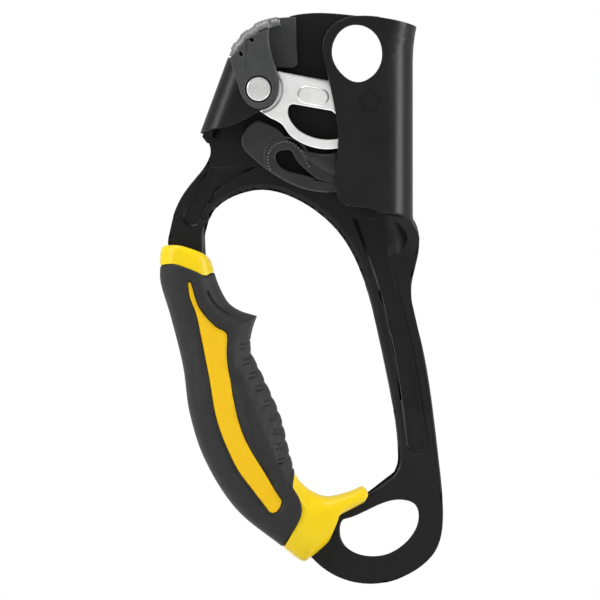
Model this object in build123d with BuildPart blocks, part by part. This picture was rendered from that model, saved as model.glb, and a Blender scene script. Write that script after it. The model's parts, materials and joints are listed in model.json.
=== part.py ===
"""Handled rope ascender: a folded sheet frame, a toothed cam with its catch, a palm rest and a grip.

The rope runs along +Z through the origin. +X points to the closed side of the rope channel, the
front faces -Y, and the cam axle lies level with the origin. All sizes are in millimetres.
"""
from build123d import *
from math import cos, exp, radians, sin
import os

os.makedirs("parts", exist_ok=True)

# ---- driving dimensions -------------------------------------------------------------------------
sheet = 4.0             # thickness of the folded aluminium sheet
channel_r = 7.0         # inner radius of the rope channel
flare = 2.3             # how far the channel's two mouths open outwards
axle_out = 40.7         # from the rope's line to the cam axle
axle_r = 3.0            # shank of the rivet that the cam turns on
rivet_head_r = 4.2
rivet_head = 1.6        # height of the formed heads
eye_drop = 147.0        # from the cam axle down to the lower eye
eye_x = -0.3            # the lower eye, from the rope's line
head_low = 52.0         # height of the head below the cam axle, where the two arms begin
groove = 1.0            # depth of the pressed grooves in the arms

ear_length = 27.1       # the folded wing, along its slanted edge
ear_top = (-10.2, 10.7)     # upper end of that edge, from the cam axle
ear_lean = 20.2         # lean of that edge from the vertical, in degrees
bend_r = 4.0            # inner radius of the wing's two bends

closed_gap = 7.1        # between the cam and the channel wall with no rope in it
cam_rise = 0.4          # growth of the cam's spiral face, per radian
cam_sweep = 26.0        # angle of the toothed face below the axle, in degrees
cam_front = 6.0         # the cam's flat face, in front of the mid plane
cam_back = 1.5          # and the back of its web
tooth_half = 4.5        # half width of the toothed block
hub_r = 5.2
bush_wall = 1.0
washer = 0.8

catch_arm = (33.3, -23.1)   # the catch's pin, from the cam axle
catch_half = 5.5        # half width of the catch
lug_front = 2.4
lug_back = 1.2
pin_r = 1.5

grip_half = 11.5        # half depth of the rubber grip
core_half = 7.0         # half depth of the moulded core inside the rubber
core_wall = 1.6         # core beside the bar it is moulded on
collar_half = 9.8
rest_half = 9.5
inlay_drop = 0.8        # the stripe lies this far below the rubber

hood_skin = 2.0         # palm rest over the ear and behind the sheet
run_gap = 0.03          # radial clearance of a shaft that turns in its hole
face_gap = 0.1          # between faces that slide past each other

# ---- derived places -----------------------------------------------------------------------------
fold_r = channel_r + sheet          # outside of the rope channel
plate_mid = channel_r + sheet / 2   # mid plane of the back plate and of the grip
bush_r = axle_r + run_gap + bush_wall
hub_half = channel_r - washer - face_gap
wing_lean = radians(ear_lean)
cam_reach = (axle_out + channel_r - closed_gap) / (
    cos(radians(cam_sweep)) * exp(cam_rise * radians(cam_sweep)))


def head(x, z):
    """A point of the head, given from the cam axle."""
    return (x - axle_out, z)


def arm(x, share):
    """A point of the arms, at a share of the way from the head down to the lower eye."""
    return (x, -head_low - share * (eye_drop - head_low))


def foot(x, z):
    """A point round the lower eye."""
    return (x + eye_x, z - eye_drop)


def facing(y):
    """A plane at depth y that faces the front."""
    return Plane.XZ.offset(-y)


def cam_face(angle, inset=0.0):
    """A point of the cam's spiral face, at an angle in degrees below the axle."""
    reach = cam_reach * exp(cam_rise * radians(angle)) - inset
    return head(reach * cos(radians(angle)), -reach * sin(radians(angle)))


# ---- lines that several pieces share ------------------------------------------------------------
bar_left = [(-71.0, 0.006), (-70.3, 0.05), (-69.4, 0.09), (-67.6, 0.17), (-64.4, 0.285), (-61.3, 0.415),
            (-56.3, 0.62), (-48.2, 0.817), (-33.5, 1.008)]
bar_right = [(-27.1, 0.895), (-37.5, 0.743), (-45.4, 0.567), (-50.8, 0.394), (-54.5, 0.267),
             (-57.3, 0.14), (-58.1, 0.07), (-58.6, 0.003)]
grip_left = [(-73.7, 0.073), (-73.4, 0.14), (-70.0, 0.26), (-66.0, 0.43), (-63.7, 0.599),
             (-58.3, 0.768), (-47.9, 0.937), (-32.2, 1.071)]
grip_right = [(-28.5, 0.807), (-30.8, 0.712), (-33.5, 0.599), (-39.5, 0.458), (-42.9, 0.384),
              (-43.3, 0.335), (-42.6, 0.296), (-41.2, 0.253)]
grip_horn = [(-41.2, 0.253), (-46.9, 0.234), (-50.9, 0.204), (-53.9, 0.147), (-55.6, 0.095)]
collar_seam = [(-55.6, 0.095), (-58.6, 0.11), (-62.0, 0.095), (-68.7, 0.07), (-73.7, 0.073)]
rest_seam = [(-32.2, 1.071), (-26.5, 0.962), (-26.8, 0.902), (-29.1, 0.86), (-28.5, 0.807)]


def along_arm(points):
    """The arm's points of a shared line."""
    return [arm(x, share) for x, share in points]


def back_outline():
    """The back plate, with the bar that runs on inside the grip."""
    top_left = head(10.9, 24.5)
    notch = head(-16.9, -17.8)
    wing_foot = wing_point(bend_r + sheet, ear_length + 1.5)
    wing_head = wing_point(bend_r + sheet, 0)
    with BuildSketch() as outline:
        with BuildLine():
            Spline(top_left, (-20.1, 25.5), (-10.1, 24.8), (0, 23.8))
            Polyline((0, 23.8), (0, -38), (6, -39))
            Spline((6, -39), (fold_r + flare - 0.2, -49.5), arm(12.3, 0.06), arm(10.5, 0.14),
                   arm(13.1, 0.317),
                   arm(17.8, 0.599), arm(19.4, 0.74), foot(21.1, 11.4), foot(21.4, 2.5), foot(19.1, -7.4),
                   foot(12.4, -14.1), foot(3.0, -18.1), foot(-3.0, -18.8), foot(-12.5, -17.0),
                   foot(-22.4, -10.1))
            Spline(foot(-22.4, -10.1), *reversed(along_arm(bar_left)), head(-29.6, -47.2),
                   head(-28.3, -41.9), head(-22.9, -32.2), head(-17.6, -25.5), head(-16.1, -21.5), notch)
            Polyline(notch, wing_foot, wing_head, head(-1.0, 15.0), head(6.0, 21.5), top_left)
        make_face()
    return outline.sketch


def hand_opening():
    """The opening that the fingers go through."""
    with BuildSketch() as outline:
        with BuildLine():
            Spline(head(-17.9, -50.6), head(-17.3, -45.6), head(-15.2, -41.2), head(-12.2, -38.2),
                   head(-7.9, -35.8), head(1.2, -33.8), head(11.2, -36.2), (-20.1, -41.9), (-12.4, -49.9),
                   arm(-6.7, 0.091), arm(-0.7, 0.317), arm(3.7, 0.542), arm(6.0, 0.733), foot(5.4, 19.4),
                   foot(2.3, 16.1), foot(-3.7, 12.1), foot(-11.4, 8.7), foot(-20.4, 8.9),
                   *along_arm(bar_right[:-1]), periodic=True)
        make_face()
    return outline.sketch


def upper_eye():
    """The egg-shaped eye through the channel's two walls."""
    with BuildSketch() as outline:
        with BuildLine():
            Spline((-7.4, 21.4), (-0.7, 17.1), (0.7, 11.7), (-1.3, 5.7), (-7.7, 2.3), (-13.4, 5.7),
                   (-16.1, 11.7), (-14.2, 18.2), periodic=True)
        make_face()
    return outline.sketch


def lower_eye():
    """The slanted eye at the foot."""
    with BuildSketch() as outline:
        with BuildLine():
            Spline(foot(-11.4, 3.0), foot(-2.3, 6.7), foot(7.7, 9.4), foot(12.2, 7.6), foot(13.2, 3.0),
                   foot(9.5, -4.3), foot(2.0, -9.0), foot(-3.0, -9.5), foot(-9.5, -7.6), foot(-13.1, -2.0),
                   periodic=True)
        make_face()
    return outline.sketch


def right_groove():
    """The groove pressed down the right arm."""
    with BuildSketch() as outline:
        with BuildLine():
            low = ThreePointArc(arm(15.7, 0.683), arm(12.4, 0.726), arm(9.0, 0.683))
            inner = Spline(low @ 1, arm(6.0, 0.461), arm(1.7, 0.232), arm(-1.7, 0.109), arm(-8.4, -0.09))
            outer = Spline(arm(-0.8, -0.09), arm(3.4, 0.073), arm(10.1, 0.338), arm(14.7, 0.62), low @ 0)
            Line(inner @ 1, outer @ 0)
        make_face()
    return outline.sketch


def left_groove():
    """The groove that runs from the head down the left arm."""
    with BuildSketch() as outline:
        with BuildLine():
            low = ThreePointArc(head(-25.1, -42.6), head(-22.3, -45.6), head(-19.2, -43.0))
            inner = Spline(low @ 1, head(-17.4, -39.0), head(-14.6, -34.6), head(-8.5, -29.5),
                           head(-0.8, -26.1))
            outer = Spline(head(-15.6, -26.8), head(-19.3, -31.5), head(-23.4, -37.6), low @ 0)
            Line(inner @ 1, outer @ 0)
        make_face()
    return outline.sketch


def wing_point(inward, along):
    """A front-view point of the folded wing, from the upper end of its slanted edge."""
    return head(ear_top[0] + inward * cos(wing_lean) - along * sin(wing_lean),
                ear_top[1] - inward * sin(wing_lean) - along * cos(wing_lean))


def wing_section():
    """A section across the folded wing, its outer face at zero and its ear to the front."""
    outer, inner = bend_r + sheet, bend_r
    short = 1 - cos(radians(45))        # how far the middle of a quarter bend stands from its corner
    overlap = outer + wing_lap
    with BuildSketch() as outline:
        with BuildLine():
            Line((overlap, -fold_r), (outer, -fold_r))
            ThreePointArc((outer, -fold_r), (outer * short, outer * short - fold_r), (0, outer - fold_r))
            Line((0, outer - fold_r), (0, fold_r - outer))
            ThreePointArc((0, fold_r - outer), (outer * short, fold_r - outer * short), (outer, fold_r))
            Polyline((outer, fold_r), (ear_width, fold_r), (ear_width, channel_r), (outer, channel_r))
            ThreePointArc((outer, channel_r), (sheet + inner * short, channel_r - inner * short),
                          (sheet, channel_r - inner))
            Line((sheet, channel_r - inner), (sheet, inner - channel_r))
            ThreePointArc((sheet, inner - channel_r), (sheet + inner * short, inner * short - channel_r),
                          (outer, -channel_r))
            Polyline((outer, -channel_r), (overlap, -channel_r), (overlap, -fold_r))
        make_face()
    return outline.sketch


def channel_section(shift):
    """A section of the rope channel's fold, moved out by shift."""
    with BuildSketch() as outline:
        with BuildLine():
            Line((-channel_lap, -fold_r), (shift, -fold_r))
            ThreePointArc((shift, -fold_r), (shift + fold_r, 0), (shift, fold_r))
            Polyline((shift, fold_r), (-channel_lap, fold_r), (-channel_lap, channel_r), (shift, channel_r))
            ThreePointArc((shift, channel_r), (shift + channel_r, 0), (shift, -channel_r))
            Polyline((shift, -channel_r), (-channel_lap, -channel_r), (-channel_lap, -fold_r))
        make_face()
    return outline.sketch


# ---- frame: one sheet, cut, folded into the channel and the ear, and pressed ---------------------
mouth_top, mouth_low = 9.0, -42.0   # the straight stretch of the channel
mouth_length = 16.0
low_length = 9.0
fold_end = -59.0
channel_lap = 1.0                   # the fold runs this far into the two flat walls
wing_lap = 1.4                      # and so does the wing's rear bend into the back plate
ear_width = 24.0                    # blank width of the ear, before its end is cut round the axle
small_flare = 0.02
ear_foot = wing_point(0, ear_length)

with BuildPart() as channel:
    # straight stretch and the two mouths that open outwards
    with BuildSketch(Plane.XY.offset(mouth_low)):
        add(channel_section(small_flare))
    extrude(amount=mouth_top - mouth_low)
    for step in range(5):
        share = step / 4
        with BuildSketch(Plane.XY.offset(mouth_top + mouth_length * share)):
            add(channel_section(small_flare + flare * share ** 2))
    loft()
    for step in range(5):
        share = step / 4
        with BuildSketch(Plane.XY.offset(mouth_low - low_length * share)):
            add(channel_section(small_flare + flare * share ** 2 * (3 - 2 * share)))
    loft()
    with BuildSketch(Plane.XY.offset(mouth_low - low_length)):
        add(channel_section(small_flare + flare))
    extrude(amount=fold_end - mouth_low + low_length)
    # sloping upper end, and a lower end that runs back to the sheet
    with BuildSketch(facing(fold_r + 1)):
        with BuildLine():
            Spline((-channel_lap, 24.2), (3.4, 23.5), (10.1, 21.8), (fold_r + flare + 1, 20.0))
            Polyline((fold_r + flare + 1, 20.0), (fold_r + flare + 1, 40), (-channel_lap, 40),
                     (-channel_lap, 24.2))
        make_face()
    extrude(amount=2 * fold_r + 2, mode=Mode.SUBTRACT)
    with BuildSketch(Plane.YZ.offset(-channel_lap)):
        with BuildLine():
            Polyline((-fold_r - 1, -41.3), (-channel_r, -42.6), (channel_r, -56.0), (channel_r, -70),
                     (-fold_r - 1, -70), (-fold_r - 1, -41.3))
        make_face()
    extrude(amount=fold_r + flare + 2, mode=Mode.SUBTRACT)

with BuildPart() as wing:
    # two bends that bring the ear in front of the back plate
    with BuildSketch(Plane(origin=(head(*ear_top)[0], 0, head(*ear_top)[1]),
                           x_dir=(cos(wing_lean), 0, -sin(wing_lean)),
                           z_dir=(-sin(wing_lean), 0, -cos(wing_lean)))):
        add(wing_section())
    extrude(amount=ear_length + 5)
    # the ear's lower edge and its end round the axle
    with BuildSketch(facing(channel_r - bend_r)):
        with BuildLine():
            Spline(ear_foot, head(-16.2, -13.7), head(-12.2, -13.1), head(-6.2, -11.1), head(1.2, -7.0))
            Spline(head(1.2, -7.0), head(4.5, -5.4), head(6.4, -2.4), head(7.0, 2.0), head(6.5, 5.5))
            Polyline(head(6.5, 5.5), head(25, 5.5), head(25, -30), head(-30, -30),
                     (head(-30, 0)[0], ear_foot[1]), ear_foot)
        make_face()
    extrude(amount=fold_r + channel_r, mode=Mode.SUBTRACT)
    # the rear bend's lower edge
    with BuildSketch(facing(fold_r + 1)):
        with BuildLine():
            Polyline(ear_foot, head(-18.6, -16.4), head(-17.3, -18.1), head(-8, -20), head(-8, -30),
                     head(-30, -30), (head(-30, 0)[0], ear_foot[1]), ear_foot)
        make_face()
    extrude(amount=2 * fold_r + 2, mode=Mode.SUBTRACT)
    # in front of the back plate the wall ends square, so that the catch can swing past it
    with BuildSketch(facing(channel_r)):
        with BuildLine():
            Polyline(ear_foot, wing_point(14, ear_length), wing_point(14, ear_length + 20),
                     wing_point(-9, ear_length + 20), wing_point(-9, ear_length), ear_foot)
        make_face()
    extrude(amount=channel_r, mode=Mode.SUBTRACT)

with BuildPart() as frame:
    with BuildSketch(facing(fold_r)):
        add(back_outline())
        add(hand_opening(), mode=Mode.SUBTRACT)
        add(lower_eye(), mode=Mode.SUBTRACT)
    extrude(amount=sheet)
    # the channel's front wall
    with BuildSketch(facing(-channel_r)):
        with BuildLine():
            Spline((-13.1, 23.1), (-17.4, 19.8), (-19.4, 14.1), (-18.4, 8.0), (-16.8, 1.3), (-14.4, -12.1),
                   (-14.2, -20.4), (-14.7, -34.5), (-12.6, -38.3), (-6.7, -39.6), (0, -41.6))
            Polyline((0, -41.6), (0, 24.2))
            Spline((0, 24.2), (-5.0, 24.6), (-9.4, 24.3), (-13.1, 23.1))
        make_face()
    extrude(amount=sheet)
    add(channel.part)
    add(wing.part)

    # the eyes, the axle's hole, and the grooves with their ribs behind
    with BuildSketch(facing(fold_r + 1)):
        add(upper_eye())
        with Locations(head(0, 0)):
            Circle(axle_r)
    extrude(amount=2 * fold_r + 2, mode=Mode.SUBTRACT)
    with BuildSketch(facing(channel_r + groove)):
        add(right_groove())
        add(left_groove())
    extrude(amount=groove, mode=Mode.SUBTRACT)
    with BuildSketch(facing(fold_r + groove / 2)):
        add(right_groove())
    extrude(amount=groove / 2)

# ---- palm rest: a moulded hood over the top of the sheet ----------------------------------------
hood_lift = 0.8                     # the hood's underside stands this far above the wing
crown_round = 1.5                   # rounding of the crown's front rim

with BuildPart() as palm_rest:
    with BuildSketch(facing(fold_r + hood_skin)):
        with BuildLine():
            crown = Spline(head(12.6, 24.1), head(6.9, 23.8), head(1.2, 22.4), head(-2.6, 20.3),
                           head(-6.4, 17.0),
                           head(-8.6, 13.7), head(-9.9, 10.9))
            Polyline(crown @ 1, wing_point(0.6, -hood_lift), wing_point(12.5, -hood_lift), head(5.0, 7.2),
                     head(11.6, 7.0), head(13.2, 8.2), head(12.8, 13.0), crown @ 0)
        make_face()
    extrude(amount=2 * fold_r + hood_skin)
    crown_rims = palm_rest.edges().filter_by(Axis.Y, reverse=True).group_by(Axis.Y)[0]
    fillet(crown_rims.sort_by(SortBy.LENGTH)[-1], crown_round)
    # the hollow to the right of the ear, where the hood is set back
    with BuildSketch(facing(-1.5)):
        with BuildLine():
            Spline(head(3.9, 30), head(3.6, 21.0), head(3.4, 17.0), head(5.6, 7.0), head(6.2, 0))
            Polyline(head(6.2, 0), head(20, 0), head(20, 30), head(3.9, 30))
        make_face()
    extrude(amount=fold_r + 4, mode=Mode.SUBTRACT)
    # the ear's cover
    with BuildSketch(facing(-fold_r)):
        with BuildLine():
            Spline(head(-9.6, 10.4), head(-8.5, 6.4), head(-6.9, 1.3), head(-5.5, -2.7), head(-3.0, -5.6),
                   head(0, -6.7), head(3.4, -5.6), head(6.1, -2.4), head(6.9, 2.0), head(6.5, 4.7),
                   head(4.9, 9.7), head(3.3, 17.5), head(3.7, 20.5))
            Polyline(head(3.7, 20.5), head(-4.0, 17.0), head(-9.6, 10.4))
        make_face()
        with Locations(head(0, 0)):
            Circle(rivet_head_r + 0.3, mode=Mode.SUBTRACT)
    extrude(amount=hood_skin)
    # two notches across the ridged crown
    with BuildSketch(facing(-channel_r)):
        for spot, turn in ((head(-3.9, 17.6), 55), (head(-7.2, 13.2), 40)):
            with Locations(Location((*spot, 0), (0, 0, turn - 90))):
                SlotOverall(5.5, 1.0)
    extrude(amount=fold_r, mode=Mode.SUBTRACT)
    add(frame.part, mode=Mode.SUBTRACT)

# ---- cam axle: a rivet through the ear and the back plate ---------------------------------------
with BuildPart() as cam_axle:
    with BuildSketch(facing(fold_r + washer + rivet_head)):
        with Locations(head(0, 0)):
            Circle(rivet_head_r)
    extrude(amount=rivet_head)
    with BuildSketch(facing(fold_r + washer)):
        with Locations(head(0, 0)):
            Circle(axle_r)
    extrude(amount=2 * fold_r + washer)
    with BuildSketch(facing(-fold_r)):
        with Locations(head(0, 0)):
            Circle(rivet_head_r)
    extrude(amount=rivet_head)
    chamfer(cam_axle.faces().sort_by(Axis.Y)[0].edges(), 0.4)
    chamfer(cam_axle.faces().sort_by(Axis.Y)[-1].edges(), 0.4)


def axle_ring(back, thickness, outer):
    """A washer on the cam axle, with its back face at the given depth."""
    with BuildPart() as ring:
        with BuildSketch(facing(back)):
            with Locations(head(0, 0)):
                Circle(outer)
                Circle(axle_r, mode=Mode.SUBTRACT)
        extrude(amount=thickness)
    return ring


axle_tail_washer = axle_ring(fold_r + washer, washer, rivet_head_r + 1.2)
axle_washer_front = axle_ring(washer - channel_r, washer, hub_r)
axle_washer_rear = axle_ring(channel_r, washer, hub_r)

# ---- cam and what turns with it -----------------------------------------------------------------
lug_r = 4.0
hub_step_r = 8.0
step_depth = 0.5
block_depth = 7.0
face_angles = [cam_sweep * share / 6 for share in range(7)]
tooth_angles = [cam_sweep * (share + 0.5) / 7 for share in range(7)]
tooth_places = (-3.45, -1.15, 1.15, 3.45)
tooth_lean = 25

with BuildPart() as cam:
    # web, with its window
    with BuildSketch(facing(cam_back)):
        with BuildLine():
            face = Spline(*[cam_face(angle) for angle in face_angles])
            Polyline(face @ 1, head(34.5, -21.5), head(26.3, -20.0))
            band = ThreePointArc(head(26.3, -20.0), head(18.6, -19.7), head(11.6, -16.4))
            Spline(band @ 1, head(9.2, -13.8), head(8.0, -12.1), head(3.85, -9.7), head(0.84, -7.7),
                   head(-3.5, -5.0), head(-6.0, -1.2), head(-5.4, 3.2), head(-2.4, 5.8), head(1.0, 6.1))
            Polyline(head(1.0, 6.1), head(6.0, 6.1), face @ 0)
        make_face()
        with BuildLine():
            Polyline(head(12.2, -5.2), head(24.6, -7.4), head(27.0, -9.5), head(27.0, -16.6))
            ThreePointArc(head(27.0, -16.6), head(20.5, -16.7), head(13.9, -14.1))
            Spline(head(13.9, -14.1), head(10.7, -10.4), head(9.9, -7.4), head(10.4, -5.7),
                   head(12.2, -5.2))
        make_face(mode=Mode.SUBTRACT)
    extrude(amount=cam_front + cam_back)
    # toothed block behind the rope face
    with BuildSketch(facing(tooth_half)):
        with BuildLine():
            outer = Spline(*[cam_face(angle) for angle in face_angles])
            inner = Spline(*[cam_face(angle, block_depth) for angle in face_angles])
            Line(outer @ 0, inner @ 0)
            Line(outer @ 1, inner @ 1)
        make_face()
    extrude(amount=2 * tooth_half)
    # hub, and the step round it
    with BuildSketch(facing(-cam_front + step_depth)):
        with Locations(head(0, 0)):
            Circle(hub_step_r)
    extrude(amount=step_depth, mode=Mode.SUBTRACT)
    with BuildSketch(facing(hub_half)):
        with Locations(head(0, 0)):
            Circle(hub_r)
    extrude(amount=2 * hub_half)
    # lug for the catch, thinner than the fork that straddles it
    with BuildSketch(facing(cam_front + 1)):
        with Locations(head(*catch_arm)):
            Circle(lug_r + 0.4)
    extrude(amount=2 * cam_front + 2, mode=Mode.SUBTRACT)
    with BuildSketch(facing(lug_back)):
        with BuildLine():
            Polyline(head(27.8, -19.6), head(34.5, -16.0), cam_face(cam_sweep, 1.5),
                     head(catch_arm[0] + 3.6, catch_arm[1] + 1.7),
                     head(catch_arm[0] - 2.8, catch_arm[1] - 0.4),
                     head(27.8, -19.6))
        make_face()
        with Locations(head(*catch_arm)):
            Circle(lug_r)
    extrude(amount=lug_back + lug_front)
    # bores
    with BuildSketch(facing(hub_half + 1)):
        with Locations(head(0, 0)):
            Circle(bush_r)
        with Locations(head(*catch_arm)):
            Circle(pin_r)
    extrude(amount=2 * hub_half + 2, mode=Mode.SUBTRACT)
    # a blank raised oval on the face
    with BuildSketch(facing(-cam_front)):
        with Locations(Location((*head(18.3, -2.3), 0), (0, 0, -10))):
            SlotOverall(10.0, 5.2)
    extrude(amount=0.3)
    # mud slot through the toothed block
    with BuildSketch(Plane(origin=(cam_face(13)[0], 0, cam_face(13)[1]),
                           x_dir=(0, 1, 0), z_dir=(cos(radians(13)), 0, -sin(radians(13))))):
        SlotOverall(9.0, 1.6, rotation=90)
    extrude(amount=-4, mode=Mode.SUBTRACT)
    # teeth that lean down the rope
    for row, angle in enumerate(tooth_angles):
        x, z = cam_face(angle, 0.2)
        lean = radians(angle + tooth_lean)
        for place in tooth_places:
            with Locations(Plane(origin=(x, place, z), z_dir=(cos(lean), 0, -sin(lean)))):
                Cone(0.85, 0.15, 1.6, align=(Align.CENTER, Align.CENTER, Align.MIN))

with BuildPart() as cam_bush:
    with BuildSketch(facing(hub_half)):
        with Locations(head(0, 0)):
            Circle(bush_r)
            Circle(axle_r + run_gap, mode=Mode.SUBTRACT)
    extrude(amount=2 * hub_half)

with BuildPart() as catch_pin:
    with BuildSketch(facing(catch_half + face_gap + 0.6)):
        with Locations(head(*catch_arm)):
            Circle(pin_r)
    extrude(amount=2 * catch_half + 2 * face_gap + 0.6)
    with BuildSketch(facing(-catch_half - face_gap)):
        with Locations(head(*catch_arm)):
            Circle(pin_r + 0.9)
    extrude(amount=0.6)

with BuildPart() as catch_pin_washer:
    with BuildSketch(facing(catch_half + face_gap + 0.6)):
        with Locations(head(*catch_arm)):
            Circle(pin_r + 0.9)
            Circle(pin_r, mode=Mode.SUBTRACT)
    extrude(amount=0.6)

# ---- springs ------------------------------------------------------------------------------------


def coil(centre, back, front, radius, wire):
    """A close-wound torsion spring round a pin that runs from back to front."""
    turns = int((back - front - wire) / (wire * 1.15))
    height = back - front - wire
    with BuildPart() as spring:
        with BuildLine():
            winding = Helix(pitch=height / turns, height=height, radius=radius,
                            center=(centre[0], back - wire / 2, centre[1]), direction=(0, -1, 0))
        with BuildSketch(Plane(origin=winding @ 0, z_dir=winding % 0)):
            Circle(wire / 2)
        sweep(path=winding, is_frenet=True)
    return spring


cam_spring = coil(head(0, 0), hub_half - 0.2, cam_back + 0.2, hub_r + 0.75, 1.0)
catch_spring = coil(head(*catch_arm), catch_half - 2.9, lug_back + 0.1, pin_r + 0.7, 0.5)

# ---- catch: a finger lever with a fork that straddles the cam's lug ------------------------------
with BuildPart() as catch:
    with BuildSketch(facing(catch_half)):
        with BuildLine():
            pivot_x, pivot_z = catch_arm
            Spline(head(26.3, -21.3), head(18.9, -21.3), head(13.9, -19.6), head(9.9, -16.8),
                   head(7.2, -14.1),
                   head(3.2, -11.7), head(-0.8, -10.7), head(-2.9, -11.7), head(-5.2, -14.7),
                   head(-5.7, -18.1),
                   head(-2.2, -23.1), head(5.5, -28.8), head(13.9, -33.0), head(20.6, -34.5),
                   head(26.0, -34.4),
                   head(pivot_x, -29.8), head(pivot_x + 3.6, pivot_z - 1.6))
            ThreePointArc(head(pivot_x + 3.6, pivot_z - 1.6), head(pivot_x + 1.6, pivot_z + 3.5),
                          head(pivot_x - 3.2, pivot_z + 2.2))
            Line(head(pivot_x - 3.2, pivot_z + 2.2), head(26.3, -21.3))
        make_face()
        with BuildLine():
            Spline(head(5.9, -23.8), head(6.4, -21.4), head(8.2, -20.7), head(10.6, -20.8),
                   head(12.2, -23.1),
                   head(15.6, -27.1), head(19.6, -30.3))
            Spline(head(19.6, -30.3), head(13.9, -28.5), head(8.2, -26.5), head(5.9, -23.8))
        make_face(mode=Mode.SUBTRACT)
    extrude(amount=2 * catch_half)
    with BuildSketch(facing(catch_half - 2.7)):
        with Locations(head(*catch_arm)):
            Circle(lug_r + 1.2)
        with Locations(head(catch_arm[0] - 1.5, catch_arm[1] + 4)):
            Rectangle(9, 8)
    extrude(amount=2 * catch_half - 2.7 - 2.7, mode=Mode.SUBTRACT)
    with BuildSketch(facing(catch_half + 1)):
        with Locations(head(*catch_arm)):
            Circle(pin_r + run_gap)
    extrude(amount=2 * catch_half + 2, mode=Mode.SUBTRACT)

# ---- grip: a core moulded on the bar, two inlays and a rubber sleeve ----------------------------
with BuildPart() as core_blank:
    # the part under the rubber
    with BuildSketch(facing(plate_mid + core_half)):
        with BuildLine():
            left = Spline(*[arm(x - core_wall, share) for x, share in bar_left[1:-1]])
            right = Spline(*[arm(x + core_wall, share) for x, share in bar_right[:-1]])
            Line(left @ 0, right @ 1)
            Line(left @ 1, right @ 0)
        make_face()
    extrude(amount=2 * core_half)
    # collar
    with BuildSketch(facing(plate_mid + collar_half)):
        with BuildLine():
            top = Spline(arm(-73.0, 0.004), arm(-67.0, 0.005), arm(-60.3, 0.028), arm(-57.0, 0.049))
            seam = Spline(*along_arm(collar_seam))
            Line(top @ 1, seam @ 0)
            Line(seam @ 1, top @ 0)
        make_face()
    extrude(amount=2 * collar_half)
    # finger rest
    with BuildSketch(facing(plate_mid + rest_half)):
        with BuildLine():
            seam = Spline(*along_arm(rest_seam))
            Spline(seam @ 1, arm(-26.8, 0.835), arm(-23.0, 0.869), arm(-17.5, 0.888), arm(-10.1, 0.87),
                   arm(-6.3, 0.853), arm(-4.0, 0.874), arm(-5.4, 0.916), arm(-10.1, 0.937),
                   arm(-14.1, 0.962),
                   arm(-16.4, 1.001), arm(-17.0, 1.045), arm(-23.5, 1.107), arm(-26.5, 1.115), seam @ 0)
        make_face()
    extrude(amount=2 * rest_half)


def core_side(keep):
    """One half of the core, hollowed for the bar."""
    with BuildPart() as side:
        add(core_blank.part)
        split(bisect_by=facing(plate_mid), keep=keep)
        add(frame.part, mode=Mode.SUBTRACT)
    return side


grip_core_front = core_side(Keep.TOP)
grip_core_rear = core_side(Keep.BOTTOM)


def stripe_outline():
    """The long stripe let into each side of the grip."""
    with BuildSketch() as outline:
        with BuildLine():
            inner = Spline(arm(-36.3, 0.947), arm(-37.5, 0.93), arm(-48.6, 0.779), arm(-54.6, 0.627),
                           arm(-57.6, 0.461), arm(-61.3, 0.267), arm(-63.9, 0.19), arm(-64.7, 0.135))
            top = ThreePointArc(inner @ 1, arm(-64.0, 0.129), arm(-63.1, 0.135))
            bend = Spline(top @ 1, arm(-60.4, 0.222), arm(-55.3, 0.285), arm(-51.9, 0.306),
                          arm(-50.9, 0.33),
                          arm(-50.7, 0.43), arm(-46.2, 0.655), arm(-37.5, 0.824), arm(-32.9, 0.902))
            Polyline(bend @ 1, arm(-34.4, 0.944), inner @ 0)
        make_face()
    return outline.sketch


def inlay(back, thickness):
    """A stripe with its back face at the given depth."""
    with BuildPart() as stripe:
        with BuildSketch(facing(back)):
            add(stripe_outline())
        extrude(amount=thickness)
    return stripe


inlay_height = grip_half - core_half - inlay_drop
inlay_front = inlay(plate_mid - core_half, inlay_height)
inlay_rear = inlay(plate_mid + core_half + inlay_height, inlay_height)

with BuildPart() as grip_sleeve:
    with BuildSketch(facing(plate_mid + grip_half)):
        with BuildLine():
            Spline(*along_arm(grip_left))
            Spline(*along_arm(rest_seam))
            Spline(*along_arm(grip_right))
            Spline(*along_arm(grip_horn))
            Spline(*along_arm(collar_seam))
        make_face()
    extrude(amount=2 * grip_half)
    with BuildSketch(facing(plate_mid + grip_half + 1)):
        add(stripe_outline())
    extrude(amount=2 * grip_half + 2, mode=Mode.SUBTRACT)
    add(core_blank.part, mode=Mode.SUBTRACT)
    add(frame.part, mode=Mode.SUBTRACT)

# ---- files --------------------------------------------------------------------------------------
pieces = {
    "frame": frame, "palm_rest": palm_rest, "cam_axle": cam_axle, "axle_tail_washer": axle_tail_washer,
    "axle_washer_front": axle_washer_front, "axle_washer_rear": axle_washer_rear, "cam": cam,
    "cam_bush": cam_bush, "catch_pin": catch_pin, "catch_pin_washer": catch_pin_washer,
    "cam_spring": cam_spring, "catch_spring": catch_spring, "catch": catch,
    "grip_core_front": grip_core_front, "grip_core_rear": grip_core_rear,
    "inlay_front": inlay_front, "inlay_rear": inlay_rear, "grip_sleeve": grip_sleeve,
}
for name, piece in pieces.items():
    piece.part.label = name
    export_step(piece.part, f"parts/{name}.step")
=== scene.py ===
"""Looks of a handled rope ascender: folded black sheet, plated cam, moulded grip and palm rest."""

import json
from bisect import bisect_right
from math import cos, exp, pi, radians, sin, sqrt

import bmesh
import bpy
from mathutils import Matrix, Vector
from mathutils.bvhtree import BVHTree


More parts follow.
